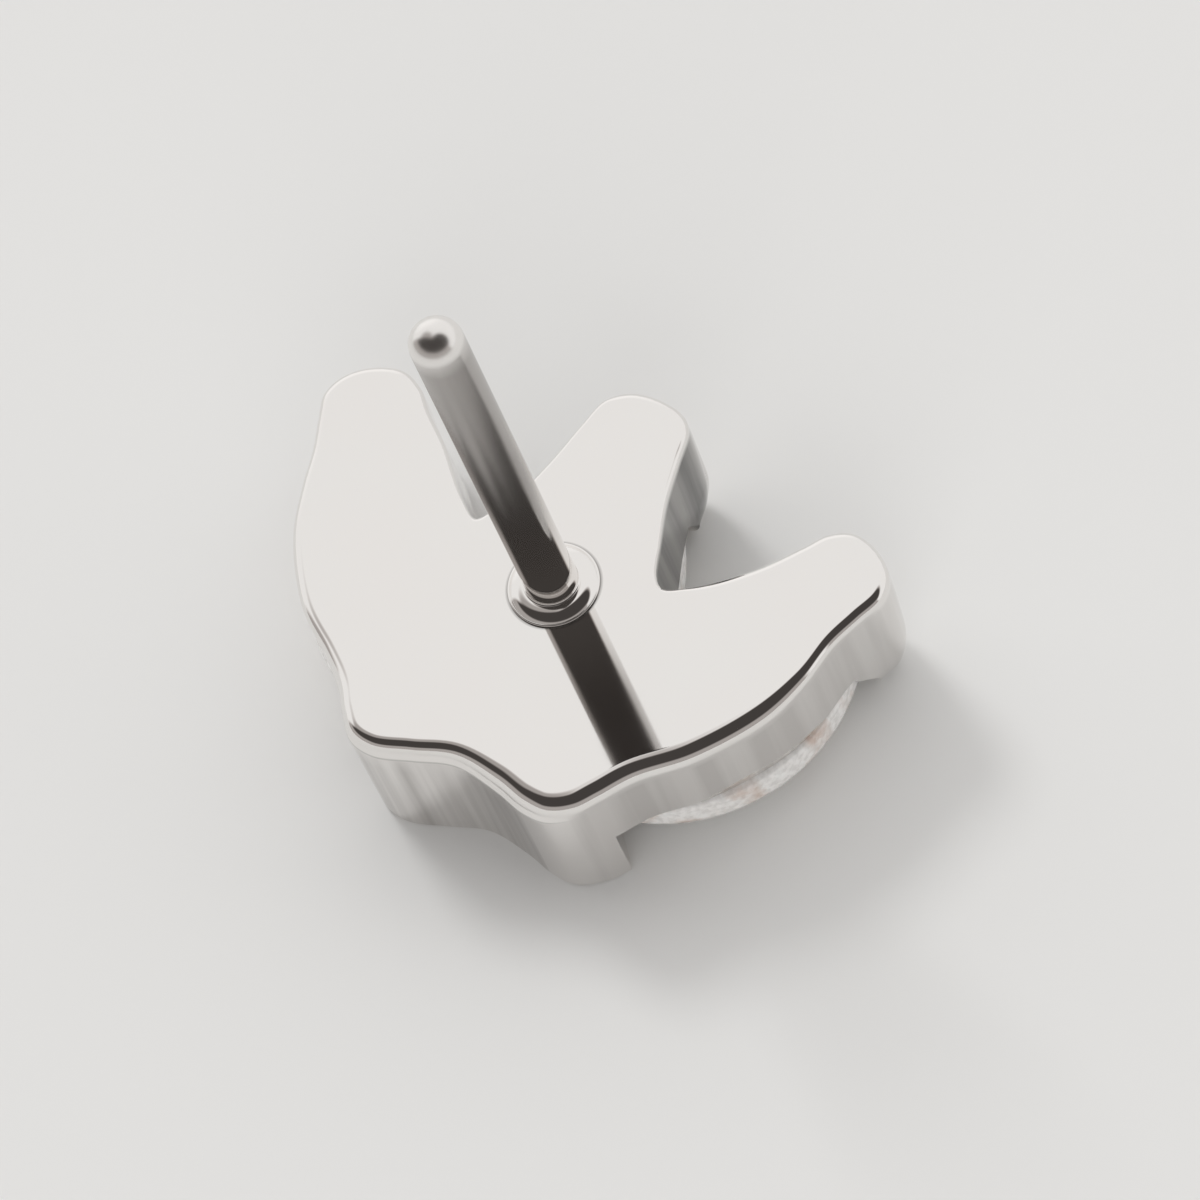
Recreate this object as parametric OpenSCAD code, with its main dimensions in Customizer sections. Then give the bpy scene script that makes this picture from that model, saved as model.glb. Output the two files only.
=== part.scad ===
// Threadless piercing top: three marquise cabochons in a fan on a cast plate, with a press-fit pin.
// Millimetres. The pin's axis is Z and the plate's flat back lies at z = 0, so the stones face down.
// Y points to the middle lobe, and X is to the right as seen from the pin's side.

/* [Plate] */
// Depth from the flat back to the shoulder that the stones sit on
plate_t = 0.88; // [0.8:0.02:0.94]
// Depth from the flat back to the prong tips
prong_depth = 1.62; // [1.58:0.01:1.7]
// Rounding of the edge round the flat back
back_round = 0.11; // [0.06:0.01:0.14]
// Rounding of the front edge of the bottom wall
front_round = 0.05; // [0.03:0.01:0.12]
// How far a prong's outer face leans inward at its tip
tip_inset = 0.22; // [0.15:0.01:0.24]
// Height over which a prong's outer face leans inward
tip_height = 0.9; // [0.4:0.05:1.3]
// Sideways offset of the plate's middle from the pin's axis
plate_shift = -0.06; // [-0.1:0.01:0.1]

/* [Stones] */
// Length of each stone over its points
stone_l = 3; // [2.9:0.02:3.04]
// Width of each stone
stone_w = 1.64; // [1.5:0.02:1.66]
// Height of the upright girdle band
girdle_h = 0.2; // [0.15:0.01:0.24]
// Height of the dome above the girdle
dome_h = 0.48; // [0.4:0.01:0.48]
// Gap between a stone and the metal
seat_gap = 0.02; // [0.01:0.005:0.03]

/* [Pin] */
// Radius of the pin
pin_r = 0.255; // [0.24:0.005:0.27]
// Length of the pin from the flat back to its round end
pin_l = 4.85; // [4:0.05:6]
// Radius of the collar at the pin's foot
collar_r = 0.44; // [0.4:0.01:0.5]
// Height of the collar
collar_h = 0.07; // [0.05:0.01:0.1]
// Radius of the hollow between the collar and the pin
weld_r = 0.12; // [0.08:0.01:0.13]

/* [Hidden] */

metal = "gainsboro";
opal = "mintcream";

// Plate outline, from the middle of the top lobe down each side to the middle of the bottom wall.
// Columns: right x, right y, left x, left y, and 1 where a prong's tip curves inward.
RX = 0;
RY = 1;
LX = 2;
LY = 3;
TIP = 4;
outline = [
    [0.00, 2.14, 0.00, 2.14, 1],
    [0.33, 2.07, -0.28, 2.09, 1],
    [0.46, 1.92, -0.44, 1.95, 1],
    [0.53, 1.60, -0.53, 1.60, 1],
    [0.63, 1.16, -0.62, 1.16, 0],
    [0.77, 0.78, -0.74, 0.76, 0],
    [0.90, 0.46, -0.91, 0.46, 0],
    [1.02, 0.37, -1.00, 0.36, 0],
    [1.24, 0.47, -1.22, 0.50, 0],
    [1.75, 0.91, -1.67, 0.95, 0],
    [2.04, 1.26, -2.00, 1.22, 1],
    [2.20, 1.46, -2.20, 1.41, 1],
    [2.42, 1.56, -2.45, 1.51, 1],
    [2.70, 1.49, -2.78, 1.41, 1],
    [2.93, 1.29, -2.98, 1.22, 1],
    [2.99, 1.05, -3.05, 1.00, 1],
    [2.89, 0.77, -2.97, 0.74, 1],
    [2.78, 0.46, -2.86, 0.44, 0],
    [2.71, 0.02, -2.76, 0.05, 0],
    [2.54, -0.46, -2.58, -0.45, 0],
    [2.11, -1.06, -2.14, -1.06, 0],
    [1.68, -1.45, -1.68, -1.43, 0],
    [1.47, -1.74, -1.42, -1.67, 0],
    [1.31, -1.94, -1.25, -1.90, 0],
    [1.05, -2.10, -1.05, -2.09, 0],
    [0.80, -2.10, -0.78, -2.14, 0],
    [0.45, -2.00, -0.40, -2.04, 0],
    [0.00, -1.93, 0.00, -1.93, 0]
];

// Places of the stones on the plate: x, y, turn of the long axis, and where its upper prong begins
// as a distance along that axis.
SX = 0;
SY = 1;
TURN = 2;
CHEEK = 3;
left_seat = [-1.85, -0.19, 27.3, 0.95];
centre_seat = [0, 0.28, 0, 1.08];
right_seat = [1.83, -0.18, -26.8, 1.05];

// Side view of an upper prong above the stone's seat: distance along the axis and depth.
// The cheeks rise beside the girdle, and the claw over the stone's point goes to full depth.
cheek_step = 0.05;
cheek_depth = plate_t + 0.1;
claw_foot = [1.2, plate_t + 0.22];
claw_heel = [1.3, plate_t + 0.38];
claw_face = 1.34;

// Inner edge of the bottom wall, right half: the wall keeps its full depth below this line.
wall_line = [[0.30, -1.08], [1.05, -1.30], [1.45, -1.76], [2.35, -2.66]];

// Share of a stone's outline that stays open between the upper claws, and the least that the
// bottom wall covers. The pocket under the metal is as deep as the dome at that share.
open_share = 0.88;
cover_share = 0.8;

front_z = -plate_t;
girdle_z = front_z - seat_gap - girdle_h;
pocket_z = girdle_z - dome_h * sqrt(1 - cover_share * cover_share) - seat_gap;
lens_r = (stone_l * stone_l + stone_w * stone_w) / (4 * stone_w);

// Reach of a seat's cut toward the bottom wall and to each side, and of any cut past the plate
cut_reach = 2.2;
cut_side = 1.3;
past_side = 4;
past_front = 0.5;

// Point of the plate from which its whole outline can be seen
plate_hub = [0.33, -1.64];

// Steps of the curves: between two rows of the outline, in an edge's round, in each side of a
// stone, in its dome, and round a full circle
steps_span = 3;
steps_round = 4;
steps_lens = 16;
steps_dome = 6;
fine = 96;

// Closed outline with x, y and tip columns, clockwise from the top
last = len(outline) - 1;
knots = concat(
    [for (row = outline) [row[RX], row[RY], row[TIP]]],
    [for (i = [last - 1:-1:1]) [outline[i][LX], outline[i][LY], outline[i][TIP]]]
);

function flat(p) = [p[0], p[1]];
function knot(i) = knots[(i + len(knots)) % len(knots)];
// Spacing of a centripetal curve between two knots
function gap(p, q) = sqrt(norm(flat(q) - flat(p)));
function mix(p, q, tp, tq, t) = ((tq - t) * p + (t - tp) * q) / (tq - tp);
function smooth_point(p0, p1, p2, p3, u) =
    let (
        t1 = gap(p0, p1),
        t2 = t1 + gap(p1, p2),
        t3 = t2 + gap(p2, p3),
        t = t1 + (t2 - t1) * u,
        a1 = mix(p0, p1, 0, t1, t),
        a2 = mix(p1, p2, t1, t2, t),
        a3 = mix(p2, p3, t2, t3, t),
        b1 = mix(a1, a2, 0, t2, t),
        b2 = mix(a2, a3, t1, t3, t)
    ) mix(b1, b2, t1, t2, t);

ring = [
    for (i = [0:len(knots) - 1])
        for (k = [0:steps_span - 1])
            smooth_point(knot(i - 1), knot(i), knot(i + 1), knot(i + 2), k / steps_span)
];
ring_n = len(ring);
function ring_at(i) = ring[(i + ring_n) % ring_n];
// Outward direction at a point of the clockwise outline
function outward(i) =
    let (d = flat(ring_at(i + 1)) - flat(ring_at(i - 1)))
    [-d[1], d[0]] / norm(d);
function tip_share(i) = min(1, max(0, ring[i][2]));
function front_inset(i) = front_round + (tip_inset - front_round) * tip_share(i);
function front_height(i) = front_round + (tip_height - front_round) * tip_share(i);

// One ring of the plate's skin: from the rounded back edge down to the rounded front edge
function back_row(a) = [
    for (i = [0:ring_n - 1])
        let (p = flat(ring[i]) - outward(i) * back_round * (1 - cos(a)))
        [p[0], p[1], -back_round + back_round * sin(a)]
];
function front_row(a) = [
    for (i = [0:ring_n - 1])
        let (p = flat(ring[i]) - outward(i) * front_inset(i) * (1 - cos(a)))
        [p[0], p[1], -prong_depth + front_height(i) * (1 - sin(a))]
];

// Closed solid through rings of equal length, each lower than the one before. Its flat ends are
// fans about a hub from which the whole ring can be seen.
module rings_solid(rows, hub) {
    n = len(rows[0]);
    foot = (len(rows) - 1) * n;
    top_hub = len(rows) * n;
    ends = [
        for (i = [0:n - 1])
            let (j = (i + 1) % n)
            each [[top_hub, i, j], [top_hub + 1, foot + j, foot + i]]
    ];
    sides = [
        for (r = [0:len(rows) - 2])
            for (i = [0:n - 1])
                let (a = r * n + i, b = r * n + (i + 1) % n)
                each [[a, a + n, b], [b, a + n, b + n]]
    ];
    hubs = [for (row = [rows[0], rows[len(rows) - 1]]) [hub[0], hub[1], row[0][2]]];
    polyhedron(concat([for (row = rows) each row], hubs), concat(ends, sides));
}

module plate_skin() {
    rings_solid(concat(
        [for (k = [steps_round:-1:0]) back_row(90 * k / steps_round)],
        [for (k = [0:steps_round]) front_row(90 * k / steps_round)]
    ), plate_hub);
}

// Prism over the stone's outline at a share of its size
module lens_prism(share, z_low, z_high) {
    translate([0, 0, z_low])
        linear_extrude(height = z_high - z_low)
            polygon([for (p = lens) share * p]);
}

module at_seat(seat) {
    translate([plate_shift + seat[SX], seat[SY], 0])
        rotate([0, 0, seat[TURN]])
            children();
}

// What is cleared above a stone's seat, up to the foot of its upper prong
module seat_cut(seat) {
    low = prong_depth + past_front;
    at_seat(seat)
        rotate([90, 0, 90])
            translate([0, 0, -cut_side])
                linear_extrude(height = 2 * cut_side)
                    polygon([
                        [-cut_reach, -plate_t],
                        [seat[CHEEK], -plate_t],
                        [seat[CHEEK] + cheek_step, -cheek_depth],
                        [claw_foot[0], -claw_foot[1]],
                        [claw_heel[0], -claw_heel[1]],
                        [claw_face, -prong_depth],
                        [claw_face, -low],
                        [-cut_reach, -low]
                    ]);
}

// What lies on the stones' side of the bottom wall's inner edge
module above_wall() {
    low_y = wall_line[len(wall_line) - 1][1];
    translate([plate_shift, 0, -prong_depth - past_front])
        linear_extrude(height = prong_depth + 2 * past_front)
            polygon(concat(
                [for (i = [len(wall_line) - 1:-1:0]) [-wall_line[i][0], wall_line[i][1]]],
                wall_line,
                [[past_side, low_y], [past_side, past_side], [-past_side, past_side], [-past_side, low_y]]
            ));
}

module pin() {
    cylinder(h = pin_l - pin_r, r = pin_r, $fn = fine);
    translate([0, 0, pin_l - pin_r])
        sphere(r = pin_r, $fn = fine);
}

// Low disc at the pin's foot, with a hollow round that runs into the pin
module collar() {
    edge = collar_h / 2;
    root = 0.3;
    rotate_extrude($fn = fine)
        polygon(concat(
            [[0, -root], [collar_r, -root]],
            [for (a = [0:30:90]) [collar_r - edge + edge * cos(a), collar_h - edge + edge * sin(a)]],
            [
                for (a = [0:15:90])
                    [
                        pin_r + weld_r - weld_r * sin(a),
                        collar_h + weld_r - weld_r * cos(a)
                    ]
            ],
            [[0, collar_h + weld_r]]
        ));
}

module setting() {
    color(metal)
        union() {
            difference() {
                translate([plate_shift, 0, 0])
                    plate_skin();
                union() {
                    intersection() {
                        above_wall();
                        union() {
                            for (seat = [left_seat, centre_seat, right_seat]) {
                                seat_cut(seat);
                                at_seat(seat)
                                    lens_prism(open_share, -prong_depth - past_front, front_z);
                            }
                        }
                    }
                    for (seat = [left_seat, centre_seat, right_seat])
                        at_seat(seat)
                            lens_prism(1 + 2 * seat_gap / stone_w, pocket_z, front_z);
                }
            }
            collar();
            pin();
        }
}

// Outline of the stone as two arcs that meet in points
half_turn = asin(stone_l / (2 * lens_r));
function arc_point(side, a) = side * [lens_r * cos(a) - lens_r + stone_w / 2, -lens_r * sin(a)];
lens = [
    for (side = [1, -1])
        for (k = [0:steps_lens - 1])
            arc_point(side, -half_turn + 2 * half_turn * k / steps_lens)
];
function lens_row(share, z) = [for (p = lens) [p[0] * share, p[1] * share, z]];

module stone(seat) {
    base_z = front_z - seat_gap;
    base_share = 0.97;
    bevel_h = 0.03;
    top_share = 0.03;
    color(opal)
        at_seat(seat)
            rings_solid(concat(
                [lens_row(base_share, base_z), lens_row(1, base_z - bevel_h)],
                [for (k = [0:steps_dome - 1])
                    let (a = 90 * k / steps_dome)
                    lens_row(cos(a), girdle_z - dome_h * sin(a))],
                [lens_row(top_share, girdle_z - dome_h)]
            ), [0, 0]);
}

module left_stone() {
    stone(left_seat);
}

module centre_stone() {
    stone(centre_seat);
}

module right_stone() {
    stone(right_seat);
}

setting();
left_stone();
centre_stone();
right_stone();
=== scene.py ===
"""Threadless piercing top, seen from behind: polished white-gold plate, pin and three opals.

Everything is built in millimetres in the part's own frame and scaled to metres at the end.
The pin's axis is Z, the flat back of the plate lies at z = 0 and the stones face down.
"""
import math

import bpy
import numpy as np
from mathutils import Matrix, Vector
from mathutils.bvhtree import BVHTree
from mathutils.geometry import delaunay_2d_cdt
from mathutils.interpolate import poly_3d_calc


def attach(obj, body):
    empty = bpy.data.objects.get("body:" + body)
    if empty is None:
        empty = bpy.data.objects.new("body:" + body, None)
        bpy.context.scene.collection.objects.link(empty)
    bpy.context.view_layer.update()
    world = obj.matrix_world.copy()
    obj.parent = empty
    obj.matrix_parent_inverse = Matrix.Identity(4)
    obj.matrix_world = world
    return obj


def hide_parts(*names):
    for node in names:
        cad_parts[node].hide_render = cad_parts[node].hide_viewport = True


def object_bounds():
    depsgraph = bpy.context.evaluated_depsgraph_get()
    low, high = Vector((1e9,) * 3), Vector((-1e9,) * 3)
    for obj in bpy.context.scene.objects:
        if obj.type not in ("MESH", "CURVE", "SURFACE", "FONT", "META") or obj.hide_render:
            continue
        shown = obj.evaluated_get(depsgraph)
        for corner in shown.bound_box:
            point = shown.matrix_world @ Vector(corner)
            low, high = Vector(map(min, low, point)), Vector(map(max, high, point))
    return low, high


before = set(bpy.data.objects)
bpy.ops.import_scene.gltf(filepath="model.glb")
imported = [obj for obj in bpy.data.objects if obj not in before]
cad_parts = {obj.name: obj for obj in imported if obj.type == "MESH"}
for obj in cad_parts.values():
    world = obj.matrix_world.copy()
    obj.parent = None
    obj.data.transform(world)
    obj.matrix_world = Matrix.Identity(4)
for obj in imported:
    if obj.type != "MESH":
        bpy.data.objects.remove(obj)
cad_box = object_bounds()

MM = 0.001

# Plate, as in the part's source: thickness, depth of walls and prongs, and its middle's x
PLATE_T = 0.88
PRONG_DEPTH = -cad_box[0].z / MM
PLATE_SHIFT = -0.06

# Radius of the back edge, what it gains along the right of the bottom wall, the same edge's
# radius in the notches, and the front edge's radius
BACK_ROUND = 0.115
ROUND_GROWTH = 0.06
NOTCH_ROUND = 0.06
FRONT_ROUND = 0.06

# Sloped band under the back edge: inset of its top, height, and half the bend at its lower
# edge, which is also the width of the painted shade line there
APRON_IN = 0.032
APRON_H = 0.09
APRON_LINE = 0.018

# Prong tips: how far the wall leans inward and on what curve, inset and height of the round end
TIP_LEAN = 0.07
LEAN_POWER = 1.5
TIP_INSET = 0.22
TIP_HEIGHT = 0.6

# Where forms fade in, as the place where each begins and the one where it is full: x from the
# plate's middle for left, right, inner and outer, and y for upper and lower
APRON_LEFT = (-2.0, -1.35)
APRON_RIGHT = (1.32, 0.95)
APRON_UPPER = (-0.9, -1.3)
GROWTH_LEFT = (-0.3, 0.8)
GROWTH_UPPER = (0.35, -0.6)
NOTCH_INNER = (0.30, 0.45)
NOTCH_OUTER = (1.5, 1.15)
NOTCH_LOWER = (0.15, 0.4)
NOTCH_UPPER = (2.1, 1.8)

# Outline from the middle of the top lobe down each side to the middle of the bottom wall.
# Columns: right x, right y, left x, left y, and 1 where a prong's tip leans inward.
OUTLINE = (
    (0.00, 2.14, 0.00, 2.14, 1),
    (0.33, 2.07, -0.28, 2.09, 1),
    (0.46, 1.92, -0.44, 1.95, 1),
    (0.53, 1.60, -0.53, 1.60, 1),
    (0.63, 1.16, -0.62, 1.16, 0),
    (0.77, 0.78, -0.74, 0.76, 0),
    (0.90, 0.46, -0.91, 0.46, 0),
    (1.02, 0.37, -1.00, 0.36, 0),
    (1.24, 0.47, -1.22, 0.50, 0),
    (1.75, 0.91, -1.67, 0.95, 0),
    (2.04, 1.26, -2.00, 1.22, 1),
    (2.20, 1.46, -2.20, 1.41, 1),
    (2.42, 1.56, -2.45, 1.51, 1),
    (2.70, 1.49, -2.78, 1.41, 1),
    (2.93, 1.29, -2.98, 1.22, 1),
    (2.99, 1.05, -3.05, 1.00, 1),
    (2.89, 0.77, -2.97, 0.74, 1),
    (2.78, 0.46, -2.86, 0.44, 0),
    (2.71, 0.02, -2.76, 0.05, 0),
    (2.54, -0.46, -2.58, -0.45, 0),
    (2.11, -1.06, -2.14, -1.06, 0),
    (1.68, -1.45, -1.68, -1.43, 0),
    (1.47, -1.74, -1.42, -1.67, 0),
    (1.31, -1.94, -1.25, -1.90, 0),
    (1.05, -2.10, -1.05, -2.09, 0),
    (0.80, -2.10, -0.78, -2.14, 0),
    (0.45, -2.00, -0.40, -2.04, 0),
    (0.00, -1.93, 0.00, -1.93, 0),
)
# Share of the radius of a bend that its points may move inward, and the least turn per mm
ROOM_SHARE = 0.8
LEAST_TURN = 0.02

# Stones: middle x, middle y, turn of the long axis in degrees, and where the upper prong begins
SEATS = {
    "left_stone": (-1.85, -0.19, 27.3, 0.95),
    "centre_stone": (0.0, 0.28, 0.0, 1.08),
    "right_stone": (1.83, -0.18, -26.8, 1.05),
}
STONE_L = 3.0
STONE_W = 1.64
GIRDLE_H = 0.2
DOME_H = 0.48
SEAT_GAP = 0.02
LENS_R = (STONE_L**2 + STONE_W**2) / (4 * STONE_W)
LENS_STEPS = 48
GIRDLE_Z = -PLATE_T - SEAT_GAP - GIRDLE_H
# Softened edge at a stone's foot: share of the outline and depth; the same depth under the dome
FOOT_EDGE = ((0.97, 0.0), (0.985, 0.008), (1.0, 0.03))
GIRDLE_EDGE = 0.03
DOME_ANGLES = range(0, 88, 4)

# Side view of an upper prong: distance along the stone's axis and depth
CHEEK_STEP = 0.05
CHEEK_DEPTH = PLATE_T + 0.1
CLAW_FOOT = (1.2, PLATE_T + 0.22)
CLAW_HEEL = (1.3, PLATE_T + 0.38)
CLAW_FACE = 1.34
# Inner edge of the bottom wall, right half
WALL_LINE = ((0.30, -1.08), (1.05, -1.30), (1.45, -1.76), (2.35, -2.66))
# Shares of the stone's outline at the window and where the dome meets the pocket's floor
OPEN_SHARE = 0.88
COVER_SHARE = 0.8
POCKET_Z = GIRDLE_Z - DOME_H * math.sqrt(1 - COVER_SHARE**2) - SEAT_GAP
# Cutters: how far they pass the metal, half width and reach of a seat's, half width of the wall's
CUT_PAST = 0.5
CUT_SIDE = 1.3
CUT_REACH = 2.2
CUT_FAR = 4

# Pin and collar: seam ring round the collar, its lip, the shoulder's steepest tilt in degrees
# and the small weld at the pin's foot
PIN_R = 0.255
PIN_L = cad_box[1].z / MM
COLLAR_R = 0.44
SEAM_W = 0.03
LIP_H = 0.03
LIP_W = 0.02
SHOULDER_TILT = 52
WELD_R = 0.022

# Fineness of the meshes. The back face's grid has its pitch in mm and, as shares of that, the
# height of a row and what it leaves clear of the rim and of the collar. A crease is the short
# step that keeps an edge crisp.
SPAN_STEPS = 9
BACK_STEPS = 12
WALL_STEPS = 6
FRONT_STEPS = 14
FACE_GRID = 0.07
GRID_ROW = 0.866
RIM_CLEAR = 0.5
COLLAR_CLEAR = 0.6
PIN_SIDES = 128
LIP_STEPS = 6
SHOULDER_STEPS = 16
WELD_STEPS = 8
SHAFT_STEPS = 24
TIP_STEPS = 24
CREASE = 0.003
METAL_SHARP = math.radians(30)
STONE_SHARP = math.radians(35)

# What counts as still on the skin after cutting: distance, agreement of normals, how far into
# the face a corner is looked up, and the shortest mean normal that is trusted
SKIN_GAP = 2e-4
SKIN_FACING = 0.9
LOOK_IN = 0.02
LEAST_NORMAL = 0.2

# Finish and painted shade: heights where the pin's satin begins and is full, what counts as on the
# pin, where the drawn wire and the shaft's painted grey shade fade at the tip, where the buffing
# streaks with their painted reflection and the notches' painted shade fade under the band, the
# streaks' strength away from the bottom wall, and the painted shade line's under the band
SATIN = (0.2, 2.4)
PIN_SKIN = 0.004
WIRE_FADE = 0.12
BUFF_AND_SHADE_FADE = 0.04
PLAIN_BUFF_AND_REFLECTION = 0.4
BAND_SHADE = 0.7

# Colours
WARM_GOLD = (0.865, 0.835, 0.815)
COOL_GOLD = (0.862, 0.855, 0.835)
# Grey of the wall streaks: partly buffing marks, partly painted reflection streaks
BUFF_AND_REFLECTION_STREAK = (0.50, 0.48, 0.465)
# Painted shade in the notches between the lobes, from dark to lighter streaks
NOTCH_SHADE_DARK = (0.11, 0.107, 0.104)
NOTCH_SHADE_LIGHT = (0.33, 0.32, 0.31)
# Painted shade: grey on the pin's shaft, darker than the metal
SHAFT_SHADE_GREY = (0.44, 0.42, 0.405)
# Dark lines: the collar's joint with painted shade in its crease, and a painted shade line along
# the band's lower edge
JOINT_AND_SHADE_DARK = (0.10, 0.095, 0.09)
OPAL_MILK = (0.90, 0.885, 0.865)
TABLE_GREY = (0.80, 0.80, 0.79)
DIM_TINT = (1.0, 0.90, 0.85)
LIGHT_TINT = (1.0, 0.99, 0.98)

# Metal: noise scales per metre, the range of the streaks' noise that shows, how strongly the
# streaks as painted reflection and the dark lines of joint and painted shade colour it, roughness
# of the polish, what streaks and satin add to that, and the relief's strength, height in metres
# and shares on walls and wire
STREAK_NOISE = (2300, 2300, 90)
WIRE_NOISE = (14000, 14000, 260)
CLOUD_NOISE = 900
STREAK_SPAN = (0.44, 0.60)
STREAK_SHARE = 0.9
LINE_SHARE = 0.6
CLOUD_SPAN = (0.3, 0.7)
POLISH = (0.02, 0.05)
STREAK_ROUGH = 0.06
SATIN_ROUGH = 0.22
RELIEF = 0.35
RELIEF_H = 0.000002
WALL_RELIEF = 0.4
WIRE_RELIEF = 0.35

# Each layer on the opal's milk: noise scale, detail, where it begins and is full, and colour
OPAL_LAYERS = (
    (15000, 6, 0.40, 0.62, (0.70, 0.685, 0.665)),
    (2300, 7, 0.49, 0.64, (0.56, 0.43, 0.365)),
    (4200, 5, 0.58, 0.70, (0.93, 0.94, 0.92)),
)
LAYER_SHARE = 0.8

# Light. Dim zones: azimuth and elevation of the middle, the dot products where each begins and
# is full, and the share of light left in it
DIM_ZONES = (
    (-80, 0, 0.04, 0.22, 0),
    (-12, 55, 0.77, 0.86, 0),
    (-150, 63, 0.87, 0.96, 0.4),
)
# The dim side is lighter again low down: heights where that begins and is full, and the share
LOW_LIGHT = (0.48, 0.36)
LOW_SHARE = 0.42
DIM_LEVEL, LIGHT_LEVEL = 0.060, 0.90
# Brighter strip low on the far side, for the rims: middle, dot products and strength
STRIP_AT = (141, 5)
STRIP_SPAN = (0.80, 0.95)
STRIP_LEVEL = 0.12
# Lamps the metal doesn't mirror: energy, size in degrees, azimuth and elevation
LAMPS = (
    ("key", 0.75, 16, 152, 44),
    ("fill", 0.65, 45, -60, 22),
    ("top", 0.85, 110, -60, 78),
)
TABLE_HALF = 0.6

# Camera at the photograph's angle: place in mm, its axes, lens and sensor in mm, clip in metres
CAMERA_AT = (29.956, -24.093, 64.400)
CAMERA_RIGHT = (0.8584, 0.4639, -0.2191)
CAMERA_UP = (-0.3286, 0.8252, 0.4595)
CAMERA_AHEAD = (-0.3940, 0.3224, -0.8607)
LENS = 243
SENSOR = 36
CLIP = (0.001, 5)


def smooth_ring(steps):
    """Closed outline through the table's rows, clockwise from the top: x, y and tip share."""
    last = len(OUTLINE) - 1
    knots = [np.array((r[0], r[1], r[4]), float) for r in OUTLINE]
    knots += [np.array(OUTLINE[i][2:], float) for i in range(last - 1, 0, -1)]
    count = len(knots)

    def reach(a, b):
        return math.sqrt(np.linalg.norm((b - a)[:2]))

    # Catmull-Rom spans, spaced by the roots of the distances between the points
    ring = []
    for i in range(count):
        p0, p1, p2, p3 = (knots[(i + k) % count] for k in (-1, 0, 1, 2))
        t1 = reach(p0, p1)
        t2 = t1 + reach(p1, p2)
        t3 = t2 + reach(p2, p3)
        for k in range(steps):
            t = t1 + (t2 - t1) * k / steps
            a1 = ((t1 - t) * p0 + t * p1) / t1
            a2 = ((t2 - t) * p1 + (t - t1) * p2) / (t2 - t1)
            a3 = ((t3 - t) * p2 + (t - t2) * p3) / (t3 - t2)
            b1 = ((t2 - t) * a1 + t * a2) / t2
            b2 = ((t3 - t) * a2 + (t - t1) * a3) / (t3 - t1)
            ring.append(((t2 - t) * b1 + (t - t1) * b2) / (t2 - t1))
    ring = np.array(ring)
    ring[:, 0] += PLATE_SHIFT
    ring[:, 2] = np.clip(ring[:, 2], 0, 1)
    return ring


def softened(values, passes):
    """Closed run of values with its short bumps evened out."""
    out = np.array(values, float)
    for _ in range(passes):
        out = (np.roll(out, 1, 0) + 2 * out + np.roll(out, -1, 0)) / 4
    return out


def ring_normals(ring):
    """Outward directions round the clockwise outline."""
    along = np.roll(ring[:, :2], -1, 0) - np.roll(ring[:, :2], 1, 0)
    side = softened(np.stack((-along[:, 1], along[:, 0]), 1), passes=3)
    return side / np.linalg.norm(side, axis=1)[:, None]


def room_inside(ring):
    """How far each outline point can move inward before its neighbours cross."""
    before = ring[:, :2] - np.roll(ring[:, :2], 1, 0)
    after = np.roll(ring[:, :2], -1, 0) - ring[:, :2]
    cross = after[:, 0] * before[:, 1] - after[:, 1] * before[:, 0]
    turn = np.arctan2(cross, (before * after).sum(1))
    length = (np.linalg.norm(before, axis=1) + np.linalg.norm(after, axis=1)) / 2
    return ROOM_SHARE / np.maximum(softened(turn / length, passes=12), LEAST_TURN)


def rise(value, first, full):
    """Smooth rise from 0 at first to 1 at full; full may be the smaller one."""
    t = np.clip((value - first) / (full - first), 0, 1)
    return t * t * (3 - 2 * t)


def apron_share(x, y):
    """Share of the sloped band below the back edge: full along the bottom wall, none elsewhere."""
    x = x - PLATE_SHIFT
    return rise(x, *APRON_LEFT) * rise(x, *APRON_RIGHT) * rise(y, *APRON_UPPER)


def notch_share(x, y):
    """Share of the two notches between the lobes, where the back edge is rounded less and painted
    shade darkens the walls.
    """
    side = np.abs(x - PLATE_SHIFT)
    across = rise(side, *NOTCH_INNER) * rise(side, *NOTCH_OUTER)
    return across * rise(y, *NOTCH_LOWER) * rise(y, *NOTCH_UPPER)


def back_fillet(x, y):
    """Radius of the back edge: larger at the bottom wall's right, smaller in the notches."""
    growth = ROUND_GROWTH * rise(x - PLATE_SHIFT, *GROWTH_LEFT) * rise(y, *GROWTH_UPPER)
    return BACK_ROUND + growth - (BACK_ROUND - NOTCH_ROUND) * notch_share(x, y)


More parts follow.
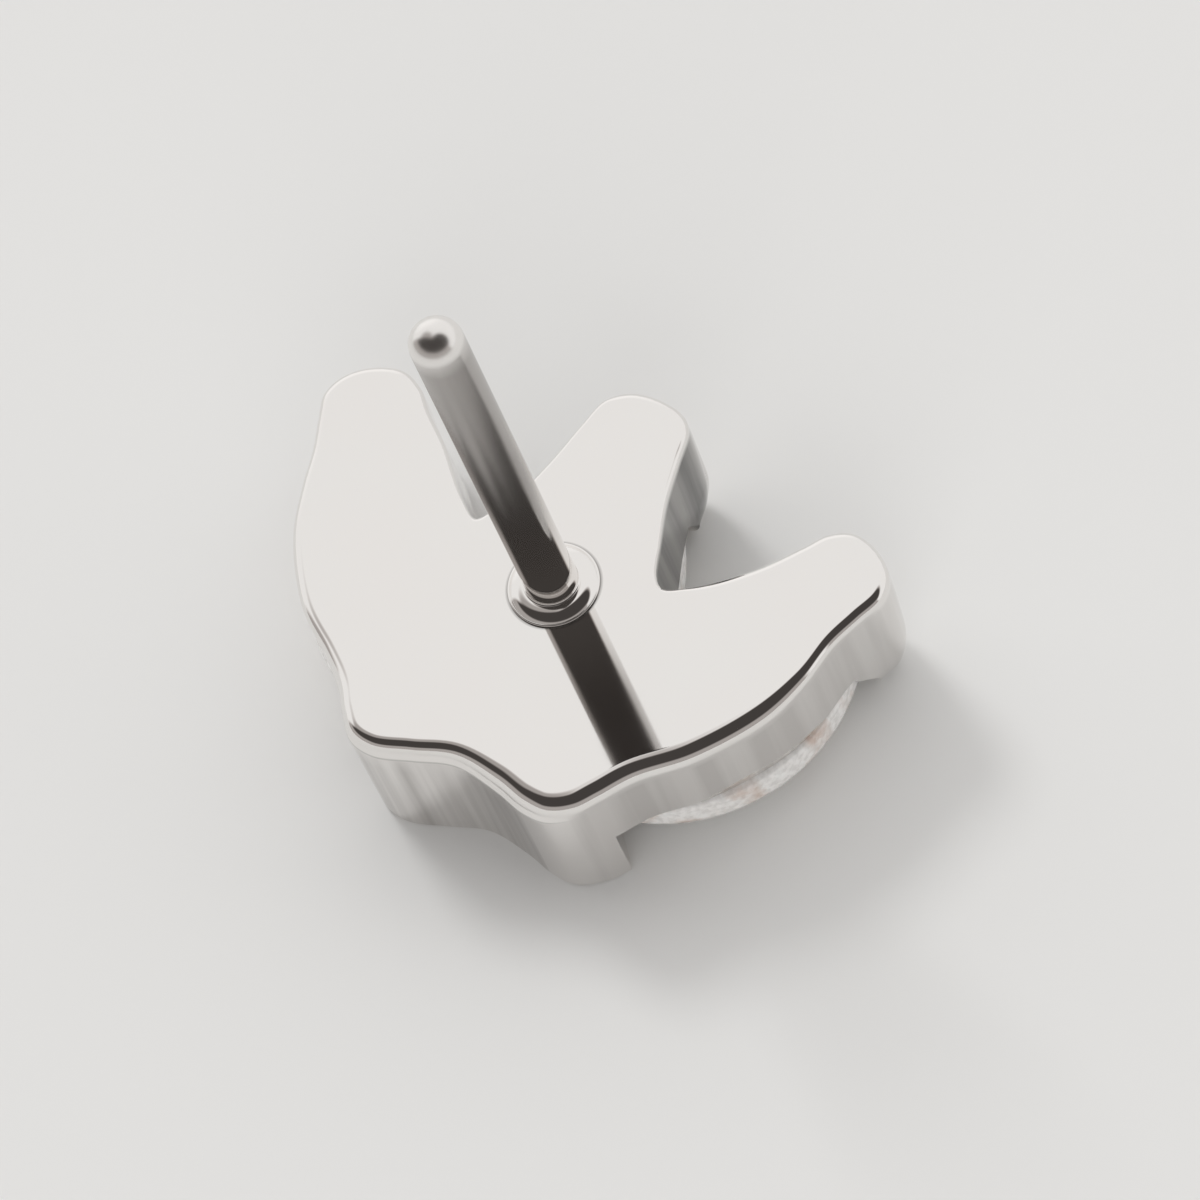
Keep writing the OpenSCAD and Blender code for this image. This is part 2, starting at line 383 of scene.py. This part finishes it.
def wall_rows(ring):
    """Rows of the skin from the back face's edge to the front: points and normals."""
    outward = ring_normals(ring)
    share = softened(ring[:, 2], passes=4)
    room = room_inside(ring)
    bend = np.minimum(FRONT_ROUND + (TIP_INSET - FRONT_ROUND) * share, room)
    bend = np.minimum(softened(bend, passes=6), room)
    height = FRONT_ROUND + (TIP_HEIGHT - FRONT_ROUND) * share
    lean = np.minimum(TIP_LEAN * share, np.maximum(room - bend, 0))
    run = PRONG_DEPTH - BACK_ROUND
    apron = softened(apron_share(ring[:, 0], ring[:, 1]), passes=3)
    back = softened(back_fillet(ring[:, 0], ring[:, 1]), passes=3)
    apron_end = -back - APRON_H
    rows = []

    def add(inset, z, normal_out, normal_z):
        size = np.hypot(normal_out, normal_z)
        sloped = np.clip((z - apron_end) / APRON_H, 0, 1)
        xy = ring[:, :2] - outward * (inset + APRON_IN * apron * sloped)[:, None]
        normal = np.column_stack((outward * (normal_out / size)[:, None], normal_z / size))
        rows.append((np.column_stack((xy, z)), normal))

    def leaned(z):
        t = np.clip((-BACK_ROUND - z) / run, 0, 1)
        return lean * t**LEAN_POWER, LEAN_POWER * lean * t**(LEAN_POWER - 1) / run

    # The back edge's rounding
    ones = np.ones(len(ring))
    for k in range(BACK_STEPS, -1, -1):
        a = math.pi / 2 * k / BACK_STEPS
        out, up = math.cos(a), math.sin(a)
        add(back * (1 - out), -back * (1 - up), out * ones, up * ones)

    # The band's slope, its lower edge and the upright wall below
    line_end = apron_end - APRON_LINE
    bends = ((-back - CREASE, 1), (apron_end + APRON_LINE, 1), (apron_end, 0.5), (line_end, 0))
    for z, tilt in bends:
        inset, slope = leaned(z)
        add(inset, z, ones, tilt * apron * APRON_IN / APRON_H - slope)
    top = -PRONG_DEPTH + height
    for k in range(1, WALL_STEPS):
        z = line_end + (top - apron_end + APRON_LINE) * k / WALL_STEPS
        inset, slope = leaned(z)
        add(inset, z, ones, -slope)

    # The front edge's rounding, long and flat at the prong tips
    for k in range(FRONT_STEPS + 1):
        a = math.pi / 2 * k / FRONT_STEPS
        out, down = math.cos(a), math.sin(a)
        z = -PRONG_DEPTH + height * (1 - down)
        inset, slope = leaned(z)
        add(inset + bend * (1 - out), z, height * out, -(slope * height * out + bend * down))
    return rows


def pin_profile():
    """Radius, height and normal of collar, domed shoulder and pin, from the face up."""
    edge = LIP_H / 2
    line = [(COLLAR_R + SEAM_W, 0.0, 0.0, 1.0), (COLLAR_R + CREASE, 0.0, 0.0, 1.0),
            (COLLAR_R, CREASE, 1.0, 0.0), (COLLAR_R, LIP_H - edge, 1.0, 0.0)]

    # The lip's round edge and its flat top
    for k in range(1, LIP_STEPS + 1):
        a = math.radians(90 * k / LIP_STEPS)
        out, up = math.cos(a), math.sin(a)
        line.append((COLLAR_R - edge + edge * out, LIP_H - edge + edge * up, out, up))
    foot_r = COLLAR_R - LIP_W
    line.append((foot_r + CREASE, LIP_H, 0.0, 1.0))

    # The shoulder, steepest at its foot
    first = math.radians(SHOULDER_TILT)
    size = (foot_r - PIN_R - WELD_R) / math.sin(first)
    for k in range(SHOULDER_STEPS + 1):
        a = first * (1 - k / SHOULDER_STEPS)
        out, up = math.sin(a), math.cos(a)
        line.append((foot_r + size * (out - math.sin(first)),
                     LIP_H + size * (up - math.cos(first)), out, up))

    # The weld, the shaft and the round tip up to the last row below its top
    weld_z = line[-1][1]
    for k in range(1, WELD_STEPS + 1):
        a = math.pi / 2 * k / WELD_STEPS
        out, up = math.sin(a), math.cos(a)
        line.append((PIN_R + WELD_R * (1 - out), weld_z + WELD_R * (1 - up), out, up))
    low, high = weld_z + WELD_R, PIN_L - PIN_R
    for k in range(1, SHAFT_STEPS + 1):
        line.append((PIN_R, low + (high - low) * k / SHAFT_STEPS, 1.0, 0.0))
    for k in range(1, TIP_STEPS):
        a = math.pi / 2 * k / TIP_STEPS
        out, up = math.cos(a), math.sin(a)
        line.append((PIN_R * out, high + PIN_R * up, out, up))
    return line


def in_polygon(points, loop):
    """Which points lie inside a closed loop."""
    inside = np.zeros(len(points), bool)
    x, y = points[:, 0], points[:, 1]
    for (x0, y0), (x1, y1) in zip(loop, np.roll(loop, -1, 0)):
        crosses = (y0 > y) != (y1 > y)
        if crosses.any():
            inside ^= crosses & (x < (x1 - x0) * (y - y0) / (y1 - y0) + x0)
    return inside


def face_grid(rim, hole):
    """Inner points and triangles of the back face between its rim and the collar."""
    low, high = rim.min(0), rim.max(0)
    row = FACE_GRID * GRID_ROW
    inner = []
    for j in range(int((high[1] - low[1]) / row) + 1):
        y = low[1] + j * FACE_GRID * GRID_ROW
        for i in range(int((high[0] - low[0]) / FACE_GRID) + 1):
            inner.append((low[0] + (i + 0.5 * (j % 2)) * FACE_GRID, y))
    inner = np.array(inner)
    inner = inner[in_polygon(inner, rim)]
    to_rim = np.min(np.linalg.norm(inner[:, None] - rim[None], axis=2), axis=1)
    clear = to_rim > FACE_GRID * RIM_CLEAR
    clear &= np.linalg.norm(inner, axis=1) > COLLAR_R + SEAM_W + FACE_GRID * COLLAR_CLEAR
    inner = inner[clear]
    points = np.vstack((rim, hole, inner))
    edges = [(i, (i + 1) % len(rim)) for i in range(len(rim))]
    edges += [(len(rim) + i, len(rim) + (i + 1) % len(hole)) for i in range(len(hole))]
    inside_only, epsilon = 1, 1e-7
    found = delaunay_2d_cdt([Vector(p) for p in points], edges, [list(range(len(rim)))],
                            inside_only, epsilon)
    if len(found[0]) != len(points):
        raise RuntimeError("the face's grid gained or lost points")
    order = [source[0] for source in found[3]]
    triangles = []
    for face in found[2]:
        corners = [order[i] for i in face]
        if not all(len(rim) <= i < len(rim) + len(hole) for i in corners):
            triangles.append(corners)
    return inner, triangles


def ring_faces(first, rows, count):
    """Quads between rings of count points each, the first of which starts at index first."""
    faces = []
    for r in range(rows - 1):
        for i in range(count):
            a, b = first + r * count + i, first + r * count + (i + 1) % count
            faces.append((a, b, b + count, a + count))
    return faces


def metal_skin():
    """The setting before its seats are cut: points, normals and faces of one closed skin, and
    the index of the back face's first triangle."""
    ring = smooth_ring(SPAN_STEPS)
    count = len(ring)
    rows = wall_rows(ring)
    points = [np.vstack([r[0] for r in rows])]
    normals = [np.vstack([r[1] for r in rows])]
    faces = ring_faces(0, len(rows), count)
    total = len(rows) * count
    faces.append(tuple(range(total - count, total)))

    angles = np.arange(PIN_SIDES) * 2 * math.pi / PIN_SIDES
    turn = np.column_stack((np.cos(angles), np.sin(angles)))
    line = pin_profile()
    for radius, z, out, up in line:
        points.append(np.column_stack((turn * radius, np.full(PIN_SIDES, z))))
        normals.append(np.column_stack((turn * out, np.full(PIN_SIDES, up))))
    faces += ring_faces(total, len(line), PIN_SIDES)
    tip = total + len(line) * PIN_SIDES
    points.append(np.array([[0, 0, PIN_L]]))
    normals.append(np.array([[0, 0, 1.0]]))
    for i in range(PIN_SIDES):
        faces.append((tip - PIN_SIDES + i, tip - PIN_SIDES + (i + 1) % PIN_SIDES, tip))

    rim = rows[0][0][:, :2]
    hole = turn * line[0][0]
    inner, triangles = face_grid(rim, hole)
    points.append(np.column_stack((inner, np.zeros(len(inner)))))
    normals.append(np.tile((0, 0, 1.0), (len(inner), 1)))

    def in_skin(i):
        if i < count:
            return i
        if i < count + PIN_SIDES:
            return total + i - count
        return tip + 1 + i - count - PIN_SIDES

    flat = np.vstack((rim, hole, inner))
    face_at = len(faces)
    for a, b, c in triangles:
        (ux, uy), (vx, vy) = flat[b] - flat[a], flat[c] - flat[a]
        upward = ux * vy - uy * vx > 0
        faces.append(tuple(in_skin(i) for i in ((a, b, c) if upward else (a, c, b))))
    return np.vstack(points), np.vstack(normals), faces, face_at


def new_mesh(name, points, faces):
    """Mesh of points and faces."""
    mesh = bpy.data.meshes.new(name)
    mesh.from_pydata([tuple(p) for p in points], [], [tuple(f) for f in faces])
    mesh.update()
    return mesh


def new_object(name, data):
    """Object at the origin, linked to the scene."""
    o = bpy.data.objects.new(name, data)
    bpy.context.scene.collection.objects.link(o)
    return o


def prism(loop, z_low, z_high, at):
    """Closed prism over an anticlockwise loop, placed by a matrix."""
    n = len(loop)
    points = [(x, y, z) for z in (z_low, z_high) for x, y in loop]
    faces = [tuple(range(n - 1, -1, -1)), tuple(range(n, 2 * n))]
    faces += [(i, (i + 1) % n, n + (i + 1) % n, n + i) for i in range(n)]
    mesh = new_mesh("prism", points, faces)
    mesh.transform(at)
    return mesh


def combine(mesh, tool, operation):
    """The solid of mesh cut by the solid of tool, or limited to it."""
    host = new_object("host", mesh)
    other = new_object("other", tool)
    modifier = host.modifiers.new("combine", "BOOLEAN")
    modifier.operation = operation
    modifier.solver = "MANIFOLD"
    modifier.object = other
    graph = bpy.context.evaluated_depsgraph_get()
    out = bpy.data.meshes.new_from_object(host.evaluated_get(graph), depsgraph=graph)
    bpy.data.objects.remove(host)
    bpy.data.objects.remove(other)
    return out


def lens_loop(share):
    """Outline of a stone at a share of its size, anticlockwise, with points at both ends."""
    half = math.asin(STONE_L / (2 * LENS_R))
    loop = []
    for side in (1, -1):
        for k in range(LENS_STEPS):
            a = -half + 2 * half * k / LENS_STEPS
            x = side * (LENS_R * math.cos(a) - LENS_R + STONE_W / 2)
            y = side * LENS_R * math.sin(a)
            loop.append((x * share, y * share))
    return loop


def seat_place(seat):
    """Matrix that puts a stone's own axes, long one along Y, at its seat."""
    turn = Matrix.Rotation(math.radians(seat[2]), 4, "Z")
    return Matrix.Translation((PLATE_SHIFT + seat[0], seat[1], 0)) @ turn


def seat_cutter(seat):
    """What is cleared in front of a stone's seat, up to the foot of its upper prong."""
    low = PRONG_DEPTH + CUT_PAST
    profile = [
        (-CUT_REACH, -low), (CLAW_FACE, -low), (CLAW_FACE, -PRONG_DEPTH),
        (CLAW_HEEL[0], -CLAW_HEEL[1]), (CLAW_FOOT[0], -CLAW_FOOT[1]),
        (seat[3] + CHEEK_STEP, -CHEEK_DEPTH), (seat[3], -PLATE_T), (-CUT_REACH, -PLATE_T),
    ]
    # The profile's x goes along the stone's long axis, its y up and its height across
    lie = Matrix(((0, 0, 1, 0), (1, 0, 0, 0), (0, 1, 0, 0), (0, 0, 0, 1)))
    return prism(profile, -CUT_SIDE, CUT_SIDE, seat_place(seat) @ lie)


def above_wall():
    """What lies on the stones' side of the bottom wall's inner edge."""
    low_y = WALL_LINE[-1][1]
    loop = [(-x, y) for x, y in reversed(WALL_LINE)] + list(WALL_LINE)
    loop += [(CUT_FAR, low_y), (CUT_FAR, CUT_FAR), (-CUT_FAR, CUT_FAR), (-CUT_FAR, low_y)]
    return prism(loop, -PRONG_DEPTH - CUT_PAST, CUT_PAST, Matrix.Translation((PLATE_SHIFT, 0, 0)))


def cut_seats(mesh):
    """The skin's solid with each stone's clearance, window and pocket cut out."""
    for seat in SEATS.values():
        at = seat_place(seat)
        mesh = combine(mesh, combine(seat_cutter(seat), above_wall(), "INTERSECT"), "DIFFERENCE")
        window = prism(lens_loop(OPEN_SHARE), -PRONG_DEPTH - CUT_PAST, POCKET_Z + SEAT_GAP, at)
        mesh = combine(mesh, combine(window, above_wall(), "INTERSECT"), "DIFFERENCE")
        pocket = prism(lens_loop(1 + 2 * SEAT_GAP / STONE_W), POCKET_Z, -PLATE_T, at)
        mesh = combine(mesh, pocket, "DIFFERENCE")
    return mesh


def smooth_shaded(mesh, sharp):
    """Shades a mesh smooth, with its edges sharp from an angle on."""
    for p in mesh.polygons:
        p.use_smooth = True
    mesh.set_sharp_from_angle(angle=sharp)


def finish_metal(points, normals, faces, face_at):
    """Cuts the seats out of the skin and gives the result its normals: true ones on the skin."""
    skin = new_mesh("skin", points, faces)
    tree = BVHTree.FromPolygons([Vector(p) for p in points], faces, epsilon=0.0)
    mesh = cut_seats(skin)
    mesh.name = "setting"
    smooth_shaded(mesh, METAL_SHARP)
    mesh.materials.clear()
    corner = np.zeros(len(mesh.loops) * 3, np.float32)
    mesh.corner_normals.foreach_get("vector", corner)
    corner = corner.reshape(-1, 3)
    for p in mesh.polygons:
        _, side, _, gap = tree.find_nearest(p.center)
        if gap > SKIN_GAP or side.dot(p.normal) < SKIN_FACING:
            continue
        for loop in p.loop_indices:
            v = mesh.vertices[mesh.loops[loop].vertex_index].co
            face = tree.find_nearest(v * (1 - LOOK_IN) + p.center * LOOK_IN)[2]
            if face >= face_at:
                corner[loop] = (0, 0, 1)
                continue
            weights = poly_3d_calc([Vector(points[i]) for i in faces[face]], v)
            normal = sum(w * normals[i] for w, i in zip(weights, faces[face]))
            size = np.linalg.norm(normal)
            corner[loop] = normal / size if size > LEAST_NORMAL else p.normal
    mesh.normals_split_custom_set([tuple(n) for n in corner])
    return mesh


def mark_finish_and_shade(mesh):
    """Where the pin is satin and where its shaft is drawn wire painted grey as shade, the buffed
    walls with painted reflection streaks, the notches' painted shade, and the fine dark lines: the
    collar's joint with painted shade in its crease, and painted shade at the band's lower edge."""
    place = np.zeros(len(mesh.vertices) * 3, np.float32)
    mesh.vertices.foreach_get("co", place)
    x, y, z = place.reshape(-1, 3).T
    radius = np.hypot(x, y)
    on_pin = (radius < PIN_R + PIN_SKIN) & (z > LIP_H)
    satin = np.where(on_pin, rise(z, *SATIN), 0)
    wire_left = 1 - np.clip((z - PIN_L + PIN_R + WIRE_FADE / 2) / WIRE_FADE, 0, 1)
    apron = apron_share(x, y)
    line_z = -back_fillet(x, y) - APRON_H
    below = z - line_z - APRON_H * (1 - apron)
    upright = rise(below, 0, -BUFF_AND_SHADE_FADE) * rise(z, -PRONG_DEPTH, -PRONG_DEPTH + FRONT_ROUND)
    # Painted shade lines: the crease at the collar's foot, also its joint, and the band's lower
    # edge
    at_collar = (np.abs(radius - COLLAR_R) < SEAM_W / 3) & (z > -CREASE) & (z < LIP_H / 2)
    on_line = np.abs(z - line_z) < APRON_LINE / 2
    marks = {
        "satin": satin,
        # the shaft: drawn-wire relief and painted grey shade
        "shaft": satin * wire_left,
        # the walls: buffing roughness and relief, and streaks painted into the colour as
        # reflection
        "wall": upright * (PLAIN_BUFF_AND_REFLECTION + (1 - PLAIN_BUFF_AND_REFLECTION) * apron),
        # painted shade in the notches
        "notch_shade": notch_share(x, y) * upright,
        # dark lines: the collar's joint with painted crease shade, and painted shade along the
        # band's lower edge
        "joint_and_shade_line": np.where(at_collar, 1.0, np.where(on_line, BAND_SHADE * apron, 0.0)),
    }
    for name, values in marks.items():
        attribute = mesh.attributes.new(name, "FLOAT", "POINT")
        attribute.data.foreach_set("value", values.astype(np.float32))


def stone_mesh(seat):
    """Marquise cabochon: upright girdle and a dome whose ridge dies out toward the top."""
    loop = np.array(lens_loop(1.0))
    n = len(loop)
    angle = np.arctan2(loop[:, 1] / (STONE_L / 2), loop[:, 0] / (STONE_W / 2))
    oval = np.column_stack((STONE_W / 2 * np.cos(angle), STONE_L / 2 * np.sin(angle)))
    base_z = -PLATE_T - SEAT_GAP
    rows = [(share, base_z - depth) for share, depth in FOOT_EDGE]
    rows.append((1.0, GIRDLE_Z + GIRDLE_EDGE))
    rows += [(math.cos(a), GIRDLE_Z - DOME_H * math.sin(a)) for a in np.radians(DOME_ANGLES)]
    points = []
    for share, z in rows:
        rounded = max(0.0, 1 - share**2) if z < GIRDLE_Z else 0.0
        points += [(x, y, z) for x, y in (loop * (1 - rounded) + oval * rounded) * share]
    faces = [tuple(range(n))]
    for a, b, c, d in ring_faces(0, len(rows), n):
        faces.append((b, a, d, c))
    points.append((0, 0, GIRDLE_Z - DOME_H))
    top = len(points) - 1
    for i in range(n):
        faces.append((top - n + (i + 1) % n, top - n + i, top))
    mesh = new_mesh("stone", points, faces)
    mesh.transform(seat_place(seat))
    smooth_shaded(mesh, STONE_SHARP)
    return mesh


def add_node(tree, kind, inputs, **settings):
    """Node with its settings, and with a value or a link for each named input."""
    made = tree.nodes.new(kind)
    for key, value in settings.items():
        setattr(made, key, value)
    for key, value in inputs.items():
        if isinstance(value, bpy.types.NodeSocket):
            tree.links.new(value, made.inputs[key])
        else:
            made.inputs[key].default_value = value
    return made


def maths(tree, operation, a, b):
    """Sum, product or the like of two values, each a number or a socket."""
    return add_node(tree, "ShaderNodeMath", {0: a, 1: b}, operation=operation).outputs["Value"]


def ranged(tree, value, span, low, high, curve="LINEAR"):
    """Value that goes from low to high over a span of another."""
    inputs = {"Value": value, "From Min": span[0], "From Max": span[1],
              "To Min": low, "To Max": high}
    return add_node(tree, "ShaderNodeMapRange", inputs, interpolation_type=curve).outputs["Result"]


def mixed(tree, share, a, b):
    """Colour between a and b; either may be a colour or a socket."""
    a, b = ((*c, 1) if isinstance(c, tuple) else c for c in (a, b))
    return add_node(tree, "ShaderNodeMix", {0: share, 6: a, 7: b}, data_type="RGBA").outputs[2]


def noise(tree, place, scale, detail, **mapping):
    """Noise fixed to the part, which a mapping may stretch or shift."""
    if mapping:
        place = add_node(tree, "ShaderNodeMapping", {"Vector": place, **mapping}).outputs["Vector"]
    inputs = {"Vector": place, "Scale": scale, "Detail": detail}
    return add_node(tree, "ShaderNodeTexNoise", inputs).outputs["Fac"]


def material(name):
    """Material with an empty node tree."""
    m = bpy.data.materials.new(name)
    m.use_nodes = True
    m.node_tree.nodes.clear()
    return m, m.node_tree


def surface(tree, inputs):
    """Ends a material's tree in a principled shader."""
    shader = add_node(tree, "ShaderNodeBsdfPrincipled", inputs)
    add_node(tree, "ShaderNodeOutputMaterial", {"Surface": shader.outputs["BSDF"]})


def metal_material():
    """Rhodium-bright white gold: near-mirror face, buffed walls with painted reflection streaks,
    satin pin painted grey as shade, painted shade in the notches and lines.
    """
    m, tree = material("polished_white_gold")
    place = add_node(tree, "ShaderNodeTexCoord", {}).outputs["Object"]
    satin, shaft, wall, notch_shade, joint_and_shade_line = (
        add_node(tree, "ShaderNodeAttribute", {}, attribute_name=name).outputs["Fac"]
        for name in ("satin", "shaft", "wall", "notch_shade", "joint_and_shade_line"))
    streaks = noise(tree, place, 1, 4, Scale=STREAK_NOISE)
    cloud = noise(tree, place, CLOUD_NOISE, 4)

    # Colour: faint warm and cool clouds, streaks on the walls greyed as painted reflection,
    # painted shade in the notches and on the grey wire, dark lines of the collar's joint and of
    # painted shade
    # Streak pattern: buffing on the walls, with painted reflection in their colour, and the
    # variation of the notches' painted shade
    streak_and_shade_pattern = ranged(tree, streaks, STREAK_SPAN, 0, 1)
    on_wall = maths(tree, "MULTIPLY", streak_and_shade_pattern, wall)
    base = mixed(tree, cloud, WARM_GOLD, COOL_GOLD)
    base = mixed(tree, maths(tree, "MULTIPLY", on_wall, STREAK_SHARE), base, BUFF_AND_REFLECTION_STREAK)
    # Painted shade in the notches
    base = mixed(tree, notch_shade, base, mixed(tree, streak_and_shade_pattern, NOTCH_SHADE_DARK, NOTCH_SHADE_LIGHT))
    # Painted shade: the shaft greyed
    base = mixed(tree, shaft, base, SHAFT_SHADE_GREY)
    # Painted shade lines, the collar's one also its joint
    base = mixed(tree, maths(tree, "MULTIPLY", joint_and_shade_line, LINE_SHARE), base, JOINT_AND_SHADE_DARK)

    # Roughness: polished face, slightly softer streaks, satin pin
    rough = ranged(tree, cloud, CLOUD_SPAN, *POLISH)
    rough = maths(tree, "ADD", rough, maths(tree, "MULTIPLY", on_wall, STREAK_ROUGH))
    rough = maths(tree, "ADD", rough, maths(tree, "MULTIPLY", satin, SATIN_ROUGH))

    # Relief: buffing streaks on the walls and drawing lines on the pin
    drawn = noise(tree, place, 1, 2, Scale=WIRE_NOISE)
    on_both = maths(tree, "ADD", maths(tree, "MULTIPLY", wall, WALL_RELIEF),
                    maths(tree, "MULTIPLY", shaft, WIRE_RELIEF))
    height = maths(tree, "MULTIPLY", drawn, on_both)
    relief = add_node(tree, "ShaderNodeBump",
                      {"Strength": RELIEF, "Distance": RELIEF_H, "Height": height})
    surface(tree, {"Metallic": 1.0, "Base Color": base, "Roughness": rough,
                   "Normal": relief.outputs["Normal"]})
    return m


def opal_material():
    """Milky opal: soft white with fine speckle, faint pinkish patches and a glossy surface."""
    m, tree = material("milky_opal")
    place = add_node(tree, "ShaderNodeTexCoord", {}).outputs["Object"]
    body = OPAL_MILK
    for scale, detail, first, full, colour in OPAL_LAYERS:
        spots = noise(tree, place, scale, detail, Location=(scale * 0.001, 0, 0))
        body = mixed(tree, ranged(tree, spots, (first, full), 0, LAYER_SHARE), body, colour)
    surface(tree, {"Base Color": body, "Roughness": 0.12, "IOR": 1.45, "Subsurface Weight": 0.35,
                   "Subsurface Scale": 0.0005, "Subsurface Radius": (1.0, 0.95, 0.9)})
    return m


def floor_material():
    """Plain pale table."""
    m, tree = material("pale_table")
    surface(tree, {"Base Color": (*TABLE_GREY, 1), "Roughness": 0.75, "Specular IOR Level": 0.2})
    return m


def object_from(mesh, name, node, skin):
    """Piece in metres that rides on the part and stands for one of its nodes."""
    mesh.transform(Matrix.Scale(MM, 4))
    mesh.name = name
    mesh.materials.append(skin)
    o = new_object(name, mesh)
    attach(o, "root")
    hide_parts(node)


def build_pieces():
    """The setting and its three stones."""
    setting_mesh = finish_metal(*metal_skin())
    mark_finish_and_shade(setting_mesh)
    metal = metal_material()
    opal = opal_material()
    object_from(setting_mesh, "setting_metal", "setting", metal)
    for name, seat in SEATS.items():
        object_from(stone_mesh(seat), name + "_cabochon", name, opal)


def set_table():
    """Square table under the stones."""
    floor_z = cad_box[0].z
    signs = ((-1, -1), (1, -1), (1, 1), (-1, 1))
    corners = [(x * TABLE_HALF, y * TABLE_HALF, floor_z) for x, y in signs]
    table = new_mesh("table", corners, [(0, 1, 2, 3)])
    table.materials.append(floor_material())
    table_top = new_object("table", table)


def direction(azimuth, elevation):
    """Unit vector at an azimuth from X and an elevation, both in degrees."""
    a, e = math.radians(azimuth), math.radians(elevation)
    return math.cos(a) * math.cos(e), math.sin(a) * math.cos(e), math.sin(e)


def set_world():
    """Soft room: light all round but for a dim side near the viewer."""
    world = bpy.data.worlds.new("studio")
    bpy.context.scene.world = world
    world.use_nodes = True
    tree = world.node_tree
    tree.nodes.clear()
    where = add_node(tree, "ShaderNodeTexCoord", {}).outputs["Generated"]

    def facing(azimuth, elevation):
        dot = add_node(tree, "ShaderNodeVectorMath", {0: where, 1: direction(azimuth, elevation)},
                       operation="DOT_PRODUCT")
        return dot.outputs["Value"]

    shares = [ranged(tree, facing(azimuth, elevation), (first, full), 1, left, "SMOOTHSTEP")
              for azimuth, elevation, first, full, left in DIM_ZONES]
    open_share = shares[0]
    for share in shares[1:]:
        open_share = maths(tree, "MULTIPLY", open_share, share)
    height = add_node(tree, "ShaderNodeSeparateXYZ", {"Vector": where}).outputs["Z"]
    open_share = maths(tree, "MAXIMUM", open_share, ranged(tree, height, LOW_LIGHT, 0, LOW_SHARE))
    level = ranged(tree, open_share, (0, 1), DIM_LEVEL, LIGHT_LEVEL)
    strip = ranged(tree, facing(*STRIP_AT), STRIP_SPAN, 0, STRIP_LEVEL)
    shade = add_node(tree, "ShaderNodeBackground", {
        "Strength": maths(tree, "ADD", level, strip),
        "Color": mixed(tree, open_share, DIM_TINT, LIGHT_TINT)})
    add_node(tree, "ShaderNodeOutputWorld", {"Surface": shade.outputs["Background"]})


def set_lamps():
    """Soft lamps that light the part and the table but don't show in the metal."""
    for name, energy, size, azimuth, elevation in LAMPS:
        sun = bpy.data.lights.new(name, "SUN")
        sun.energy = energy
        sun.angle = math.radians(size)
        lamp = new_object(name, sun)
        lamp.rotation_mode = "QUATERNION"
        lamp.rotation_quaternion = Vector(direction(azimuth, elevation)).to_track_quat("Z", "Y")
        lamp.visible_glossy = False


def set_camera():
    """Camera at the photograph's angle."""
    camera = new_object("camera", bpy.data.cameras.new("camera"))
    camera.data.lens = LENS
    camera.data.sensor_width = SENSOR
    camera.data.clip_start, camera.data.clip_end = CLIP
    turned = Matrix((CAMERA_RIGHT, CAMERA_UP, -Vector(CAMERA_AHEAD))).transposed()
    camera.matrix_world = Matrix.Translation(Vector(CAMERA_AT) * MM) @ turned.to_4x4()
    bpy.context.scene.camera = camera
    bpy.context.scene.view_settings.view_transform = "Standard"


build_pieces()
set_table()
set_world()
set_lamps()
set_camera()
